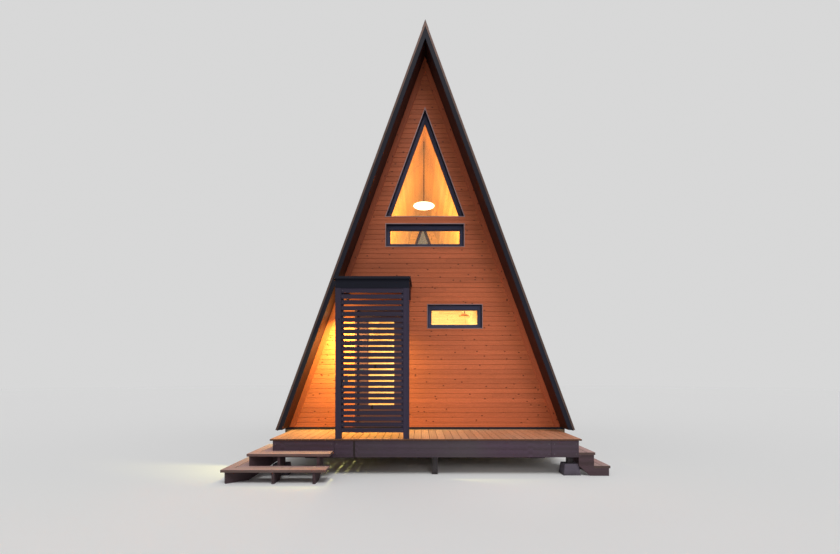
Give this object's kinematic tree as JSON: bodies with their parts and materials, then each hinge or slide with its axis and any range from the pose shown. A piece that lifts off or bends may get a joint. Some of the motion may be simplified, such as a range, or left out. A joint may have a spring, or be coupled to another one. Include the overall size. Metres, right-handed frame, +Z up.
{
  "type": "a-frame cabin",
  "caption": "A-frame cabin on piers with a steep ribbed metal roof, a boarded gable with a triangle window, a slatted entry screen with canopy, a front deck and open steps",
  "frame": {"origin": "On the ground, at the middle of the bottom face of the middle pier block, under the centre of the cabin's body", "axes": "+X runs to the right as seen from the front, -Y is the way the front wall, deck and door face, +Z is up"},
  "size_m": [5.586, 8.264, 7.3619],
  "materials": {
    "concrete": "rough cast concrete",
    "weathered_post": "weathered timber",
    "framing": "sawn timber",
    "floor_wood": "oiled boards",
    "deck_wood": "light tan boards",
    "fascia_wood": "weathered grey-brown boards",
    "step_wood": "weathered tan boards",
    "wall_wood": "warm natural boards with knots",
    "trim_wood": "warm natural boards",
    "roof_panel": "dark stained panel",
    "ceiling_wood": "warm pine boards",
    "roofing_metal": "charcoal ribbed sheet",
    "dark_trim": "charcoal, smooth",
    "edge_metal": "bare metal edge",
    "window_paint": "anthracite, satin",
    "glass": "clear double glazing",
    "door_paint": "anthracite paint",
    "hardware": "satin metal",
    "screen_paint": "charcoal stain",
    "lamp": "opal lamp shades"
  },
  "bodies": {
    "cabin": {"pier_blocks": "concrete", "foundation_posts": "weathered_post", "floor_beams": "framing", "floor_rim": "weathered_post", "floor_joists": "framing", "main_floor": "floor_wood", "deck_joists": "framing", "deck_fascia": "fascia_wood", "deck_boards": "deck_wood", "corner_step_treads": "step_wood", "side_step_treads": "step_wood", "step_stringers": "step_wood", "front_wall_left": "wall_wood", "front_wall_right": "wall_wood", "front_wall_over_door": "wall_wood", "front_wall_upper": "wall_wood", "rear_wall": "wall_wood", "roof_panel_left": "roof_panel", "roof_panel_right": "roof_panel", "ceiling_left": "ceiling_wood", "ceiling_right": "ceiling_wood", "roofing_left": "roofing_metal", "roofing_right": "roofing_metal", "ridge_cap": "roofing_metal", "rake_fascias": "dark_trim", "drip_edges": "edge_metal", "soffits": "dark_trim", "rake_trims": "trim_wood", "gable_window_frame": "window_paint", "loft_window_frame": "window_paint", "side_window_frame": "window_paint", "front_window_glass": "glass", "rear_window_frames": "window_paint", "rear_window_glass": "glass", "door_frame": "window_paint", "door_sill": "hardware", "canopy_posts": "screen_paint", "canopy_frame": "screen_paint", "canopy_roof": "roofing_metal", "entry_screen": "screen_paint", "wall_light": "lamp", "loft_floor": "floor_wood", "pendant_lamps": "lamp"},
    "door": {"door_leaf": "door_paint", "door_glass": "glass", "door_handle": "hardware", "door_hinges": "hardware"}
  },
  "joints": [
    {"name": "door_hinge", "type": "hinge", "parent": "cabin", "child": "door", "pos_m": [-0.363, -2.892, 1.644], "axis": [0, 0, -1], "range_deg": [0, 95]}
  ]
}
